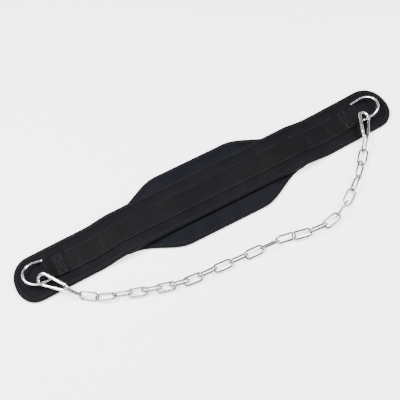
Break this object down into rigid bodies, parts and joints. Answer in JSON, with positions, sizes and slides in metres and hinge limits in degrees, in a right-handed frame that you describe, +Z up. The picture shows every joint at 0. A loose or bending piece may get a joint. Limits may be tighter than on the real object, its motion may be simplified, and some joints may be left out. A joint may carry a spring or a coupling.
{
  "type": "dip belt with chain",
  "caption": "Padded belt for weighted dips and pull-ups: long band over a wide back pad, webbing strap, D-rings, snap hooks and a steel chain.",
  "frame": {"origin": "under the middle of the belt, on the surface that it lies on, at the back pad's flat underside", "axes": "+X along the belt, +Y across it away from the chain, +Z up from the surface"},
  "size_m": [0.783, 0.2715, 0.0247],
  "materials": {
    "padding": "fine knitted nylon over foam, matte",
    "tape": "woven binding tape, stitched",
    "webbing": "woven nylon webbing, slight sheen",
    "plated_steel": "bright nickel plate",
    "zinc_chain": "bright zinc plate"
  },
  "bodies": {
    "belt": {"back_pad": "padding", "back_pad_binding": "tape", "band": "padding", "band_binding": "tape", "webbing": "webbing", "ring_left": "plated_steel", "ring_right": "plated_steel", "hook_left": "plated_steel", "hook_right": "plated_steel", "link_01": "zinc_chain", "link_02": "zinc_chain", "link_03": "zinc_chain", "link_04": "zinc_chain", "link_05": "zinc_chain", "link_06": "zinc_chain", "link_07": "zinc_chain", "link_08": "zinc_chain", "link_09": "zinc_chain", "link_10": "zinc_chain", "link_11": "zinc_chain", "link_12": "zinc_chain", "link_13": "zinc_chain", "link_14": "zinc_chain", "link_15": "zinc_chain", "link_16": "zinc_chain", "link_17": "zinc_chain", "link_18": "zinc_chain", "link_19": "zinc_chain", "link_20": "zinc_chain", "link_21": "zinc_chain", "link_22": "zinc_chain", "link_23": "zinc_chain", "link_24": "zinc_chain"},
    "gate_left": {"gate_left": "plated_steel"},
    "gate_right": {"gate_right": "plated_steel"}
  },
  "joints": [
    {"name": "gate_left_hinge", "type": "hinge", "parent": "belt", "child": "gate_left", "pos_m": [-0.31164, -0.04937, 0.01809], "axis": [-0.403, -0.3678, 0.8381], "range_deg": [0, 18], "stiffness_Nm_per_rad": 0.04, "springref_deg": -20.05},
    {"name": "gate_right_hinge", "type": "hinge", "parent": "belt", "child": "gate_right", "pos_m": [0.30901, -0.04294, 0.01664], "axis": [-0.4607, 0.2922, -0.8381], "range_deg": [0, 18], "stiffness_Nm_per_rad": 0.04, "springref_deg": -20.05}
  ]
}
